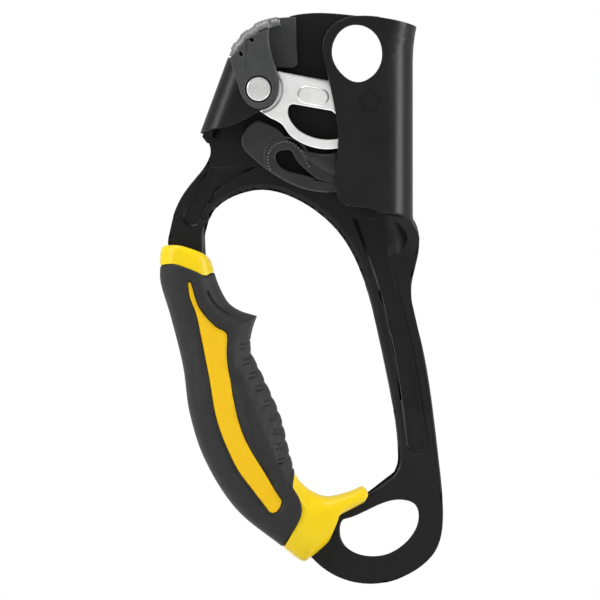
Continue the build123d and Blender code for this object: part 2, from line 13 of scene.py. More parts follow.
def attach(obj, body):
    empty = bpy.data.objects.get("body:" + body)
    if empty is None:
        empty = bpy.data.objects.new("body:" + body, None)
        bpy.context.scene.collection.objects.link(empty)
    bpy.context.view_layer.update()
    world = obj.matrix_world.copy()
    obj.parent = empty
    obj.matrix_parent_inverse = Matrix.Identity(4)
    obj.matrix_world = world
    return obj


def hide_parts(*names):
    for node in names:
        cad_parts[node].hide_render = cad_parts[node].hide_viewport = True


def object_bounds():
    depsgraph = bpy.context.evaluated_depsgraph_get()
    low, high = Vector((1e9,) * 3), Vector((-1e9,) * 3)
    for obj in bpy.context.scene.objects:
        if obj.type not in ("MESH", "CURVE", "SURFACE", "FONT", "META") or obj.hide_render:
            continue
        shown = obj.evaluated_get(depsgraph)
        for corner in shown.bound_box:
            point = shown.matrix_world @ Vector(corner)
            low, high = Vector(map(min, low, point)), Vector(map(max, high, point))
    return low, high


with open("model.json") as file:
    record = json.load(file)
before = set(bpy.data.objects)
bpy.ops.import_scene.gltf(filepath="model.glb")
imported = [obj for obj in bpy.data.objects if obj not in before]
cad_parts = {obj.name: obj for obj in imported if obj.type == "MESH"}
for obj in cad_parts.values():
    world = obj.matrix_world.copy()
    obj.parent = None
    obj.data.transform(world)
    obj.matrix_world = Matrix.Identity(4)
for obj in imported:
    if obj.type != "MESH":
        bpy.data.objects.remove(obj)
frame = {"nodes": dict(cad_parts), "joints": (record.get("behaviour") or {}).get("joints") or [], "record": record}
cad_box = [list(corner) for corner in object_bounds()]
nodes = frame["nodes"]
mm = 0.001


# ---- materials ------------------------------------------------------------------------------------


class Finish:
    """A material being built: its shader, and short ways to add nodes to it."""

    def __init__(self, name, colour, rough, metal=0.0, specular=0.5):
        self.material = bpy.data.materials.new(name)
        self.material.use_nodes = True
        self.tree = self.material.node_tree
        self.shader = self.tree.nodes["Principled BSDF"]
        self.shader.inputs["Base Color"].default_value = (*colour, 1.0)
        self.shader.inputs["Roughness"].default_value = rough
        self.shader.inputs["Metallic"].default_value = metal
        self.shader.inputs["Specular IOR Level"].default_value = specular
        self.coords = self.tree.nodes.new("ShaderNodeTexCoord").outputs["Object"]

    def node(self, kind, **settings):
        made = self.tree.nodes.new("ShaderNode" + kind)
        for key, value in settings.items():
            setattr(made, key, value)
        return made

    def link(self, source, target):
        self.tree.links.new(source, target)

    def noise(self, scale, detail=4.0, rough=0.55, stretch=None):
        """A noise value; scale is in cycles per metre."""
        made = self.node("TexNoise")
        made.inputs["Scale"].default_value = scale
        made.inputs["Detail"].default_value = detail
        made.inputs["Roughness"].default_value = rough
        if stretch:
            mapping = self.node("Mapping")
            mapping.inputs["Scale"].default_value = stretch
            self.link(self.coords, mapping.inputs["Vector"])
            self.link(mapping.outputs["Vector"], made.inputs["Vector"])
        else:
            self.link(self.coords, made.inputs["Vector"])
        return made.outputs["Fac"]

    def ramp(self, value, *stops):
        """A colour that runs between stops, each given as a place and a colour."""
        made = self.node("ValToRGB")
        while len(made.color_ramp.elements) < len(stops):
            made.color_ramp.elements.new(0.5)
        for element, (place, colour) in zip(made.color_ramp.elements, stops):
            element.position = place
            element.color = (*colour, 1.0)
        self.link(value, made.inputs["Fac"])
        return made.outputs["Color"]

    def colour_from(self, value, *stops):
        self.link(self.ramp(value, *stops), self.shader.inputs["Base Color"])

    def rough_from(self, value, low, high):
        spread = self.node("MapRange")
        spread.inputs["To Min"].default_value = low
        spread.inputs["To Max"].default_value = high
        self.link(value, spread.inputs["Value"])
        self.link(spread.outputs["Result"], self.shader.inputs["Roughness"])

    def bump(self, value, height, strength=1.0):
        """Relief of the given height in metres."""
        made = self.node("Bump")
        made.inputs["Strength"].default_value = strength
        made.inputs["Distance"].default_value = height
        self.link(value, made.inputs["Height"])
        previous = self.shader.inputs["Normal"].links
        if previous:
            self.link(previous[0].from_socket, made.inputs["Normal"])
        self.link(made.outputs["Normal"], self.shader.inputs["Normal"])


def black_anodised():
    finish = Finish("black_anodised", (0.004, 0.004, 0.0042), 0.34, specular=0.13)
    finish.colour_from(finish.noise(60, 3), (0.3, (0.0032, 0.0032, 0.0034)), (0.7, (0.0052, 0.0052, 0.0054)))
    finish.rough_from(finish.noise(900, 5, 0.6), 0.30, 0.43)
    finish.bump(finish.noise(5200, 2, 0.5), 0.012 * mm, 0.7)
    return finish.material


def painted_highlight_black():
    """Black anodising painted lighter: a painted highlight on what stands proud."""
    finish = Finish("painted_highlight_black", (0.030, 0.030, 0.031), 0.36, specular=0.4)
    finish.colour_from(finish.noise(1400, 4, 0.7),
                       (0.35, (0.018, 0.018, 0.019)), (0.7, (0.045, 0.045, 0.046)))
    finish.rough_from(finish.noise(1900, 4), 0.28, 0.45)
    return finish.material


def catch_black():
    finish = Finish("catch_black", (0.010, 0.010, 0.0105), 0.34, specular=0.25)
    finish.colour_from(finish.noise(90, 3), (0.3, (0.008, 0.008, 0.0085)), (0.7, (0.013, 0.013, 0.0135)))
    finish.rough_from(finish.noise(1100, 4), 0.27, 0.42)
    finish.bump(finish.noise(4200, 2), 0.014 * mm, 0.7)
    return finish.material


def dark_plastic():
    finish = Finish("dark_plastic", (0.016, 0.0162, 0.017), 0.42, specular=0.3)
    finish.colour_from(finish.noise(220, 4), (0.3, (0.013, 0.0132, 0.0138)), (0.7, (0.020, 0.0203, 0.0213)))
    finish.rough_from(finish.noise(1500, 3), 0.42, 0.58)
    finish.bump(finish.noise(3600, 3, 0.6), 0.03 * mm, 0.8)
    return finish.material


def crown_sheen_plastic():
    """The palm rest's moulding, painted a lighter grey on its ridges as a painted highlight."""
    finish = Finish("crown_sheen_plastic", (0.075, 0.075, 0.077), 0.4, specular=0.45)
    finish.colour_from(finish.noise(500, 4, 0.6), (0.3, (0.055, 0.055, 0.057)), (0.7, (0.10, 0.10, 0.102)))
    finish.rough_from(finish.noise(1500, 3), 0.34, 0.5)
    return finish.material


def grip_rubber():
    finish = Finish("grip_rubber", (0.0088, 0.0092, 0.0089), 0.6, specular=0.17)
    finish.colour_from(finish.noise(420, 6, 0.65),
                       (0.28, (0.0066, 0.0069, 0.0067)), (0.72, (0.0115, 0.012, 0.0116)))
    finish.rough_from(finish.noise(700, 4), 0.55, 0.72)
    finish.bump(finish.noise(3000, 3, 0.6), 0.05 * mm, 0.9)
    return finish.material


def yellow_plastic():
    finish = Finish("yellow_plastic", (0.43, 0.305, 0.001), 0.36, specular=0.16)
    finish.colour_from(finish.noise(70, 3), (0.3, (0.415, 0.295, 0.001)), (0.7, (0.445, 0.318, 0.0012)))
    finish.rough_from(finish.noise(1300, 4), 0.30, 0.44)
    finish.bump(finish.noise(2600, 2), 0.012 * mm, 0.6)
    finish.shader.inputs["Subsurface Weight"].default_value = 0.12
    finish.shader.inputs["Subsurface Radius"].default_value = (1.6 * mm, 1.0 * mm, 0.3 * mm)
    return finish.material


def golden_inlay():
    finish = Finish("golden_inlay", (0.41, 0.25, 0.001), 0.52, specular=0.14)
    finish.colour_from(finish.noise(3200, 3, 0.7), (0.3, (0.385, 0.232, 0.001)), (0.7, (0.44, 0.268, 0.0014)))
    finish.rough_from(finish.noise(1700, 3), 0.45, 0.62)
    finish.bump(finish.noise(4200, 3, 0.6), 0.03 * mm, 0.8)
    return finish.material


def plated_steel():
    finish = Finish("plated_steel", (0.78, 0.78, 0.775), 0.34, metal=1.0)
    finish.colour_from(finish.noise(160, 4), (0.3, (0.66, 0.66, 0.655)), (0.7, (0.78, 0.78, 0.775)))
    finish.rough_from(finish.noise(2300, 4, 0.6), 0.27, 0.42)
    finish.bump(finish.noise(3800, 3, 0.6), 0.02 * mm, 0.7)
    return finish.material


def turned_steel(name, centre):
    """Steel with the fine rings a lathe or a riveting tool leaves, about an axis along Y."""
    finish = Finish(name, (0.60, 0.60, 0.59), 0.3, metal=1.0)
    mapping = finish.node("Mapping")
    mapping.inputs["Location"].default_value = (-centre[0], 0, -centre[2])
    mapping.inputs["Scale"].default_value = (1, 0, 1)
    finish.link(finish.coords, mapping.inputs["Vector"])
    rings = finish.node("TexWave", wave_type="RINGS", rings_direction="SPHERICAL")
    rings.inputs["Scale"].default_value = 900
    rings.inputs["Distortion"].default_value = 1.5
    rings.inputs["Detail"].default_value = 2
    rings.inputs["Detail Scale"].default_value = 1.5
    finish.link(mapping.outputs["Vector"], rings.inputs["Vector"])
    finish.bump(rings.outputs["Fac"], 0.02 * mm, 0.7)
    finish.colour_from(finish.noise(1500, 4), (0.3, (0.48, 0.48, 0.475)), (0.7, (0.62, 0.62, 0.61)))
    finish.rough_from(finish.noise(1800, 3), 0.24, 0.38)
    return finish.material


def spring_steel():
    finish = Finish("spring_steel", (0.42, 0.42, 0.42), 0.3, metal=1.0)
    finish.rough_from(finish.noise(2600, 4), 0.24, 0.42)
    finish.bump(finish.noise(2500, 3, 0.6, (1, 8, 1)), 0.01 * mm, 0.6)
    return finish.material


def bronze():
    finish = Finish("bronze_bush", (0.50, 0.34, 0.16), 0.42, metal=1.0)
    finish.colour_from(finish.noise(2400, 4), (0.3, (0.42, 0.28, 0.13)), (0.7, (0.58, 0.40, 0.20)))
    finish.bump(finish.noise(3600, 3), 0.02 * mm, 0.7)
    return finish.material


joint_places = {joint["name"]: joint["pos_m"] for joint in frame["joints"]}
axle = Vector(joint_places["cam_pivot"])
catch_axis = Vector(joint_places["catch_pivot"])
axle_steel = turned_steel("rivet_steel", axle)
pin_steel = turned_steel("pin_steel", catch_axis)
finishes = {
    "frame": black_anodised(), "palm_rest": dark_plastic(), "cam_axle": axle_steel,
    "axle_tail_washer": axle_steel, "axle_washer_front": axle_steel, "axle_washer_rear": axle_steel,
    "cam_spring": spring_steel(), "cam": plated_steel(), "cam_bush": bronze(), "catch_pin": pin_steel,
    "catch_pin_washer": pin_steel, "catch": catch_black(), "grip_sleeve": grip_rubber(),
    "grip_core_front": yellow_plastic(), "inlay_front": golden_inlay(),
}
finishes["catch_spring"] = finishes["cam_spring"]
finishes["grip_core_rear"] = finishes["grip_core_front"]
finishes["inlay_rear"] = finishes["inlay_front"]
for name, node in nodes.items():
    node.data.materials.clear()
    node.data.materials.append(finishes[name])


# ---- mesh tools -----------------------------------------------------------------------------------
slots = {row["node"]: row["material_slot"] for row in frame["record"]["subparts"]}


def new_piece(name, mesh, body, slot, material, *hidden):
    """An object made from a finished mesh, riding on its body in place of the nodes it hides."""
    bmesh.ops.recalc_face_normals(mesh, faces=mesh.faces)
    data = bpy.data.meshes.new(name)
    mesh.to_mesh(data)
    mesh.free()
    data.materials.append(material)
    data.shade_smooth()
    piece = bpy.data.objects.new(name, data)
    bpy.context.scene.collection.objects.link(piece)
    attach(piece, body)
    if hidden:
        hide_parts(*hidden)
    return piece


def even_shading(piece, angle=32):
    """Keeps flat faces flat and lets the light run round the small roundings."""
    piece.data.set_sharp_from_angle(angle=radians(angle))
    weighted = piece.modifiers.new("even shading", "WEIGHTED_NORMAL")
    weighted.keep_sharp = True
    weighted.weight = 80


def merged_copy(name):
    """The mesh of a CAD node as one clean closed shell."""
    mesh = bmesh.new()
    mesh.from_mesh(nodes[name].data)
    bmesh.ops.remove_doubles(mesh, verts=mesh.verts, dist=0.002 * mm)
    bmesh.ops.dissolve_limit(mesh, angle_limit=radians(0.6), verts=mesh.verts, edges=mesh.edges)
    return mesh


def bevel(mesh, edges, width, segments=2):
    """A mesh with these edges rounded; an edge whose corner has no room for it stays sharp.

    A vertex that ends up off the old surface by more than half the width shows such a corner.
    """
    surface = BVHTree.FromBMesh(mesh)
    mesh.edges.index_update()
    chosen = [edge.index for edge in edges]
    for _ in range(5):
        trial = mesh.copy()
        trial.edges.ensure_lookup_table()
        bmesh.ops.bevel(trial, geom=[trial.edges[index] for index in chosen], offset=width,
                        offset_type="OFFSET", segments=segments, profile=0.5, affect="EDGES",
                        clamp_overlap=False, material=-1)
        strays = [vert for vert in trial.verts if surface.find_nearest(vert.co)[3] > 0.5 * width]
        spots = [vert.co.copy() for vert in strays]
        if not spots:
            break
        mesh.edges.ensure_lookup_table()
        chosen = [index for index in chosen
                  if all(((mesh.edges[index].verts[0].co + mesh.edges[index].verts[1].co) / 2 - spot).length
                         > 2.5 * width for spot in spots)]
    for vert in strays:
        if vert.is_valid:
            vert.co = surface.find_nearest(vert.co)[0]
    mesh.free()
    return trial


def sharp_edges(mesh, angle=28):
    return [edge for edge in mesh.edges if edge.is_manifold and edge.calc_face_angle() > radians(angle)]


def loop_at(edges, start, depth):
    """The run of joined edges, all at one depth in mm, that passes nearest to a point."""
    level = [edge for edge in edges if all(abs(vert.co.y - depth * mm) < 0.02 * mm for vert in edge.verts)]
    first = min(level, key=lambda edge: (edge.verts[0].co - start).length)
    run, waiting, allowed = {first}, [first], set(level)
    while waiting:
        for vert in waiting.pop().verts:
            for edge in vert.link_edges:
                if edge in allowed and edge not in run:
                    run.add(edge)
                    waiting.append(edge)
    return [edge for edge in level if edge in run]


def clear_of(edges, spots):
    """The edges that keep away from spots, each given with a reach in mm."""
    return [edge for edge in edges
            if all(((edge.verts[0].co + edge.verts[1].co) / 2 - spot).length > reach * mm
                   for spot, reach in spots)]


def straight_at(edges, start, end, depth):
    """The edges at a depth in mm that lie on the line between two points of the front view."""
    line = [start, end]
    return [edge for edge in edges
            if all(abs(vert.co.y - depth * mm) < 0.02 * mm and distance_to(vert.co, line) < 0.12
                   for vert in edge.verts)]


def softened(name, body, width, segments=2, wide=(), keep_sharp=(), chamfers=(), flat_front=False):
    """A copy of a CAD node with rounded edges.

    wide gives (point, depth, width) of broader roundings, keep_sharp (point, reach) of spots left
    alone, and chamfers (start, end, depth, width) of flat ones. flat_front shades the large faces
    that look straight to the front as flat.
    """
    mesh = merged_copy(name)
    for start, end, depth, broad in chamfers:
        mesh = bevel(mesh, straight_at(sharp_edges(mesh), start, end, depth), broad, 1)
    for start, depth, broad in wide:
        mesh = bevel(mesh, clear_of(loop_at(sharp_edges(mesh), start, depth), keep_sharp), broad, 3)
    mesh = bevel(mesh, clear_of(sharp_edges(mesh), keep_sharp), width, segments)
    piece = new_piece(name + "_rounded", mesh, body, slots[name], finishes[name], name)
    even_shading(piece)
    if flat_front:
        for face in piece.data.polygons:
            face.use_smooth = face.normal.y > -0.9999 or face.area < 10 * mm ** 2


def cut_away(mesh, cutter):
    """The first mesh without the space of the second."""
    stock_data, cutter_data = bpy.data.meshes.new("stock"), bpy.data.meshes.new("cutter")
    mesh.to_mesh(stock_data)
    cutter.to_mesh(cutter_data)
    stock, tool = bpy.data.objects.new("stock", stock_data), bpy.data.objects.new("cutter", cutter_data)
    for thing in (stock, tool):
        bpy.context.scene.collection.objects.link(thing)
    difference = stock.modifiers.new("cut", "BOOLEAN")
    difference.operation = "DIFFERENCE"
    difference.object = tool
    difference.solver = "EXACT"
    result = bmesh.new()
    result.from_object(stock, bpy.context.evaluated_depsgraph_get())
    for thing in (stock, tool):
        bpy.data.objects.remove(thing)
    mesh.free()
    cutter.free()
    return result


def thicken(mesh, depth):
    """Gives a flat mesh a depth along Y and leaves it closed."""
    flat = [*mesh.verts, *(edge for edge in mesh.edges if edge.is_boundary), *mesh.faces]
    grown = bmesh.ops.extrude_face_region(mesh, geom=flat, use_keep_orig=True)["geom"]
    moved = [item for item in grown if isinstance(item, bmesh.types.BMVert)]
    bmesh.ops.translate(mesh, verts=moved, vec=(0, depth, 0))
    bmesh.ops.recalc_face_normals(mesh, faces=mesh.faces)


def outline_prism(points, front, back):
    """A closed block with the given outline in the front view, between two depths in mm."""
    mesh = bmesh.new()
    mesh.faces.new([mesh.verts.new((point.x, front * mm, point.z)) for point in points])
    thicken(mesh, (back - front) * mm)
    return mesh


# ---- curves of the moulded pieces -----------------------------------------------------------------
head_low, eye_drop = 52.0, 147.0
grip_middle = 9.0       # mid plane of the grip, in mm behind the rope's line


def arm(x, share):
    """A point of the arm in the front view, at a share of the way from the head to the lower eye."""
    return Vector((x, 0, -head_low - share * (eye_drop - head_low))) * mm


def head(x, z):
    """A point of the head in the front view, from the cam axle, in mm."""
    return Vector((x * mm + axle.x, 0, z * mm))


def samples_of(points, steps=12):
    """A smooth line through points, as a list of points."""
    padded = [2 * points[0] - points[1], *points, 2 * points[-1] - points[-2]]
    samples = []
    for index in range(len(points) - 1):
        a, b, c, d = padded[index:index + 4]
        for step in range(steps):
            t = step / steps
            samples.append(0.5 * (2 * b + (c - a) * t + (2 * a - 5 * b + 4 * c - d) * t ** 2
                                  + (3 * b - a - 3 * c + d) * t ** 3))
    return [*samples, points[-1]]


def curve(points):
    """A smooth line through points of the arm, as a function of a share of its length."""
    samples = samples_of([arm(*point) for point in points])
    lengths = [0.0]
    for here, after in zip(samples, samples[1:]):
        lengths.append(lengths[-1] + (after - here).length)

    def place(share):
        wanted = min(max(share, 0.0), 1.0) * lengths[-1]
        index = min(max(bisect_right(lengths, wanted), 1), len(samples) - 1)
        span = lengths[index] - lengths[index - 1]
        return samples[index - 1].lerp(samples[index], (wanted - lengths[index - 1]) / span if span else 0)
    return place


def distance_to(spot, line):
    """Distance in mm from a spot of the front view to a run of points."""
    best = 1e9
    for here, after in zip(line, line[1:]):
        along_x, along_z = after.x - here.x, after.z - here.z
        share = ((spot.x - here.x) * along_x + (spot.z - here.z) * along_z) / (along_x ** 2 + along_z ** 2)
        share = min(max(share, 0.0), 1.0)
        best = min(best, (spot.x - here.x - share * along_x) ** 2 + (spot.z - here.z - share * along_z) ** 2)
    return sqrt(best) / mm


def hollow(distance, width):
    return exp(-(distance / width) ** 2)


def moulding(sides, ends, depth, rows, ring, power=2.7, relief=None, lips=(0.0, 0.0)):
    """A closed body between four lines of the front view, with an oval section across.

    sides are the left and right lines, ends the first and last; depth is the half depth in mm at a
    share along; relief raises the surface in mm; lips are the rounded shares at the two ends.
    """
    left, right = sides
    first, last = ends

    def place(across, along):
        spot = left(along).lerp(right(along), across) + first(across).lerp(last(across), along)
        return spot - left(0).lerp(right(0), across).lerp(left(1).lerp(right(1), across), along)

    def section(along):
        shrink = 1.0
        for distance, lip in ((along, lips[0]), (1 - along, lips[1])):
            if distance < lip:
                shrink *= 1 - 0.12 * (1 - sqrt(1 - (1 - distance / lip) ** 2))
        spots = []
        for index in range(ring):
            angle = 2 * pi * index / ring
            side = 1 if cos(angle) >= 0 else -1
            spot = place(0.5 - 0.5 * shrink * side * abs(cos(angle)) ** (2 / power), along)
            thick = depth(along) * shrink * abs(sin(angle)) ** (2 / power)
            if relief and thick > 0:
                thick += relief(spot, along) * min(1.0, 3 * abs(sin(angle)))
            spot.y = (grip_middle - thick * (1 if sin(angle) >= 0 else -1)) * mm
            spots.append(spot)
        return spots

    mesh = bmesh.new()
    bmesh.ops.create_circle(mesh, cap_ends=False, radius=mm, segments=ring)
    mesh.verts.ensure_lookup_table()
    run = list(mesh.verts)
    for vert, spot in zip(run, section(rows[0])):
        vert.co = spot
    edges = list(mesh.edges)
    open_edges = list(edges)
    for along in rows[1:]:
        grown = bmesh.ops.extrude_edge_only(mesh, edges=edges)["geom"]
        edges = [item for item in grown if isinstance(item, bmesh.types.BMEdge)]
        order = {vert: index for index, vert in enumerate(run)}
        after = [None] * ring
        for vert in (item for item in grown if isinstance(item, bmesh.types.BMVert)):
            behind = [edge.other_vert(vert) for edge in vert.link_edges if edge.other_vert(vert) in order]
            after[order[behind[0]]] = vert
        run = after
        for vert, spot in zip(run, section(along)):
            vert.co = spot
        edges = [edge for edge in edges if len(edge.link_faces) == 1]
    bmesh.ops.holes_fill(mesh, edges=open_edges + edges, sides=0)
    return mesh


def shares(count):
    return [index / count for index in range(count + 1)]


# ---- rounded copies of the sheet, the cam and the levers -------------------------------------------
softened("frame", "body", 0.5 * mm, 2, (
    (Vector((-0.0260, 0.007, -0.0350)), 7.0, 2.2 * mm),      # rim of the hand opening
    (Vector((0.0040, 0.007, -0.0850)), 7.0, 0.5 * mm),       # groove of the right arm
    (Vector((-0.0620, 0.007, -0.0345)), 7.0, 0.5 * mm),      # groove of the left arm
), ((Vector((-0.0585, 0.007, -0.0165)), 6.0), (Vector((0.0080, 0.004, -0.0480)), 11.0)))
softened("palm_rest", "body", 0.35 * mm, flat_front=True)
softened("cam_axle", "body", 0.3 * mm)
softened("cam", "cam", 0.4 * mm, chamfers=((head(6.0, 6.1), head(37.67, 0.0), -6.0, 1.3 * mm),))
softened("catch", "catch", 0.7 * mm, 3)


def solid_outline(points, front, back, width):
    """A block with a front-view outline and a rounded front edge, between two depths in mm."""
    mesh = outline_prism(points, front, back)
    rim = [edge for edge in mesh.edges if all(abs(vert.co.y - front * mm) < 1e-6 for vert in edge.verts)]
    bmesh.ops.bevel(mesh, geom=rim, offset=width, offset_type="OFFSET", segments=2, profile=0.5,
                    affect="EDGES", clamp_overlap=True, material=-1)
    return mesh


def ridge(points, depth, radius):
    """A half-sunk round ridge along a line of the front view, at a depth in mm."""
    line = samples_of(points, 5)
    mesh = bmesh.new()
    bmesh.ops.create_circle(mesh, cap_ends=True, radius=radius, segments=8)
    mesh.faces.ensure_lookup_table()
    end = mesh.faces[0]
    start_side = (line[1] - line[0]).normalized()
    turn = start_side.to_track_quat("Z", "Y").to_matrix()
    bmesh.ops.transform(mesh, matrix=turn.to_4x4(), verts=mesh.verts)
    bmesh.ops.translate(mesh, verts=mesh.verts, vec=line[0] + Vector((0, depth * mm, 0)))
    for before, here, after in zip(line, line[1:], line[2:] + [2 * line[-1] - line[-2]]):
        grown = bmesh.ops.extrude_discrete_faces(mesh, faces=[end])["faces"]
        end = grown[0]
        bmesh.ops.translate(mesh, verts=end.verts, vec=here - before)
        heading = (after - before).normalized()
        turned = end.normal.rotation_difference(heading if end.normal.dot(heading) > 0 else -heading)
        centre = end.calc_center_median()
        bmesh.ops.rotate(mesh, cent=centre, matrix=turned.to_matrix(), verts=end.verts)
    bmesh.ops.holes_fill(mesh, edges=[edge for edge in mesh.edges if edge.is_boundary], sides=0)
    return mesh


# painted highlight: a lighter black that stands for the light caught by the catch's beads and the rope arrow
highlight_paint = painted_highlight_black()

# beads and a raised rim round the catch's hole, and the thumb lobe beside it
bead_line = samples_of([head(3.9, -27.1), head(3.0, -23.8), head(3.9, -20.4), head(6.2, -18.4),
                        head(8.9, -17.6), head(11.6, -18.4), head(13.9, -20.4), head(15.6, -23.1),
                        head(17.3, -26.5)], 16)
bead_gap, bead_radius = 1.05 * mm, 0.46 * mm
bead_depth = -5.55      # the beads' middles, just under the catch's front face
beads = bmesh.new()
travelled = bead_gap
for here, after in zip(bead_line, bead_line[1:]):
    travelled += (after - here).length
    if travelled >= bead_gap:
        travelled = 0.0
        made = bmesh.ops.create_icosphere(beads, subdivisions=2, radius=bead_radius)["verts"]
        bmesh.ops.scale(beads, vec=(1, 0.9, 1), verts=made)
        bmesh.ops.translate(beads, verts=made, vec=after + Vector((0, bead_depth * mm, 0)))
# the beads wear the painted highlight black
new_piece("catch_beads", beads, "catch", "catch_black", highlight_paint)
rim_line = [head(2.7, -26.0), head(1.8, -23.8), head(2.7, -19.6), head(5.2, -17.2), head(8.9, -16.3),
            head(12.6, -17.1), head(15.4, -19.6), head(17.3, -22.4), head(20.0, -25.2), head(25.4, -29.0)]
new_piece("catch_rim", ridge(rim_line, -5.45, 0.32 * mm), "catch", "catch_black", finishes["catch"])
lobe_line = samples_of([head(13.9, -20.4), head(19.9, -21.9), head(26.3, -21.9)], 5) + samples_of(
    [head(26.3, -29.3), head(23.3, -28.1), head(20.6, -26.6), head(17.6, -24.4), head(15.2, -22.4)], 5)
new_piece("catch_lobe", solid_outline(lobe_line, -6.1, -5.3, 0.45 * mm), "catch", "catch_black",
          finishes["catch"])

# raised arrow that points up the rope
arrow_front, arrow_depth, arrow_stroke = -11.3, 0.6, 0.5
arrow = bmesh.new()
arrow_spots = [head(37.4, 0.2), head(41.7, -4.4), head(39.4, -4.4), head(39.4, -7.0), head(35.4, -7.0),
               head(35.4, -4.4), head(33.1, -4.4)]
arrow_face = arrow.faces.new([arrow.verts.new((spot.x, arrow_front * mm, spot.z)) for spot in arrow_spots])
bmesh.ops.inset_region(arrow, faces=[arrow_face], thickness=arrow_stroke * mm, use_boundary=True,
                       use_even_offset=True)
bmesh.ops.delete(arrow, geom=[arrow_face], context="FACES")
thicken(arrow, arrow_depth * mm)
arrow_rim = [edge for edge in arrow.edges if all(vert.co.y < (arrow_front + 0.01) * mm for vert in edge.verts)
             and edge.calc_face_angle(0) > 1]
bmesh.ops.bevel(arrow, geom=arrow_rim, offset=0.15 * mm, offset_type="OFFSET", segments=2, profile=0.5,
                affect="EDGES", clamp_overlap=True, material=-1)
# the arrow wears the painted highlight black
even_shading(new_piece("rope_arrow", arrow, "body", "black_anodised", highlight_paint))

# crown of the palm rest with fine ridges: three raised pads on one rounded band, in a lighter grey that is a
# painted highlight
crown_sheen = crown_sheen_plastic()
crown_line = samples_of([head(6.9, 23.8), head(1.2, 22.4), head(-2.6, 20.3), head(-6.4, 17.0),
                         head(-8.6, 13.7), head(-9.7, 11.2)], 60)
pad_spans = [(0.5, 8.9), (11.5, 14.7), (17.3, 19.9)]     # mm walked along the crown, from its right end
band_section = [(0.0, 12.6), (0.0, -9.6), (0.22, -10.8), (0.75, -11.7), (1.5, -12.3), (2.3, -12.5),
                (2.9, -12.3), (3.2, -11.6), (3.2, -10.4), (1.2, -10.4), (1.2, 12.6)]
band_rise, pad_rise, ridge_rise = 0.12, 0.42, 0.05
ridge_pitch = 1.15
band = bmesh.new()
rings = []
walked = 0.0
for before, here, after in zip([crown_line[0], *crown_line], crown_line,
                               [*crown_line[1:], crown_line[-1]]):
    walked += (here - before).length / mm
    heading = (after - before).normalized()
    outward = Vector((-heading.z, 0, heading.x))
    if outward.z < 0:
        outward = -outward
    rise = band_rise
    for start, end in pad_spans:
        edge_gap = min(walked - start, end - walked)
        rise += pad_rise / (1 + exp(-edge_gap / 0.07))
    rise += ridge_rise * cos(2 * pi * walked / ridge_pitch)
    set_back = 10.0 / (1 + exp((walked - 3.4) / 0.12))     # the hood's front steps back beside the ear
    rings.append([band.verts.new(here + outward * (rise - depth) * mm
                                 + Vector((0, (y + set_back if y < 0 else y) * mm, 0)))
                  for depth, y in band_section])
for first, second in zip(rings, rings[1:]):
    for place in range(len(band_section)):
        corner = (place + 1) % len(band_section)
        band.faces.new([first[place], first[corner], second[corner], second[place]])
band.faces.new(rings[0])
band.faces.new(rings[-1][::-1])
bmesh.ops.recalc_face_normals(band, faces=band.faces)
# the crown band wears the painted highlight grey
even_shading(new_piece("crown_band", band, "body", "dark_plastic", crown_sheen), 50)

# ---- grip: rubber sleeve ---------------------------------------------------------------------------
sleeve_left = curve([(-73.7, .073), (-73.4, .14), (-70, .26), (-66, .43), (-63.7, .599), (-58.3, .768),
                     (-47.9, .937), (-32.2, 1.071)])
collar_seam = curve([(-73.7, .073), (-68.7, .07), (-62, .095), (-58.6, .11), (-55.6, .095)])
rest_seam = curve([(-32.2, 1.071), (-26.5, .962), (-26.8, .902), (-29.1, .86), (-28.5, .807)])
horn_edge = curve([(-55.6, .095), (-53.9, .147), (-50.9, .204), (-46.9, .234), (-41.2, .253)])
finger_edge = curve([(-41.2, .253), (-42.6, .296), (-43.3, .335), (-42.9, .384), (-39.5, .458), (-33.5, .599),
                     (-30.8, .712), (-28.5, .807)])
horn_share = 0.235      # the horn's tip lies this far down the sleeve
rib_first, rib_pitch = 0.359, 0.0507


def sleeve_right(along):
    """The inner edge: round the horn, then down the nine finger ribs."""
    if along < horn_share:
        return horn_edge(along / horn_share)
    spot = finger_edge((along - horn_share) / (1 - horn_share))
    place = ((-spot.z / mm - head_low) / (eye_drop - head_low) - rib_first) / rib_pitch
    if -0.5 < place < 8.5:
        spot.x -= 0.38 * mm * (0.5 - 0.5 * cos(2 * pi * place)) ** 3
    return spot


stripe_left = [(-38.1, .930), (-42.7, .868), (-48.6, .779), (-54.6, .627), (-57.6, .461), (-61.3, .267),
               (-63.9, .19), (-64.7, .135)]
stripe_right = [(-63.1, .135), (-60.4, .222), (-55.3, .285), (-51.9, .306), (-50.9, .33), (-50.7, .43),
                (-46.2, .655), (-37.5, .824), (-32.7, .902)]
stripe_outline = (samples_of([arm(*point) for point in stripe_left], 6) + [arm(-64.0, .129)]
                  + samples_of([arm(*point) for point in stripe_right], 6)
                  + [arm(-32.7, .915), arm(-33.4, .932), arm(-34.6, .946), arm(-35.9, .950),
                     arm(-37.2, .944)])
stripe_closed = stripe_outline + stripe_outline[:1]
horn_crease = samples_of([arm(-57.9, .169), arm(-55.3, .214), arm(-50.9, .246), arm(-47.6, .253),
                          arm(-44.9, .253)], 6)
side_hollow = samples_of([arm(-48.6, .479), arm(-46.2, .549), arm(-42.2, .690), arm(-39.5, .768),
                          arm(-36.2, .839)], 4)
rib_marks = []
for x, share in ((-45.9, .359), (-44.9, .412), (-43.2, .461), (-40.9, .507), (-38.2, .560), (-36.2, .609),
                 (-34.8, .659), (-33.8, .711), (-33.2, .765)):
    for rise in (0.8, -0.8):
        middle_spot = arm(x, share) + Vector((0.1, 0, rise)) * mm
        reach = Vector((1.0, 0, 0.28)) * mm
        rib_marks.append([middle_spot - reach, middle_spot + reach])
rib_column = samples_of([arm(-45.9, .30), arm(-44.9, .412), arm(-40.9, .507), arm(-36.2, .609),
                         arm(-33.8, .711), arm(-33.2, .80)], 4)


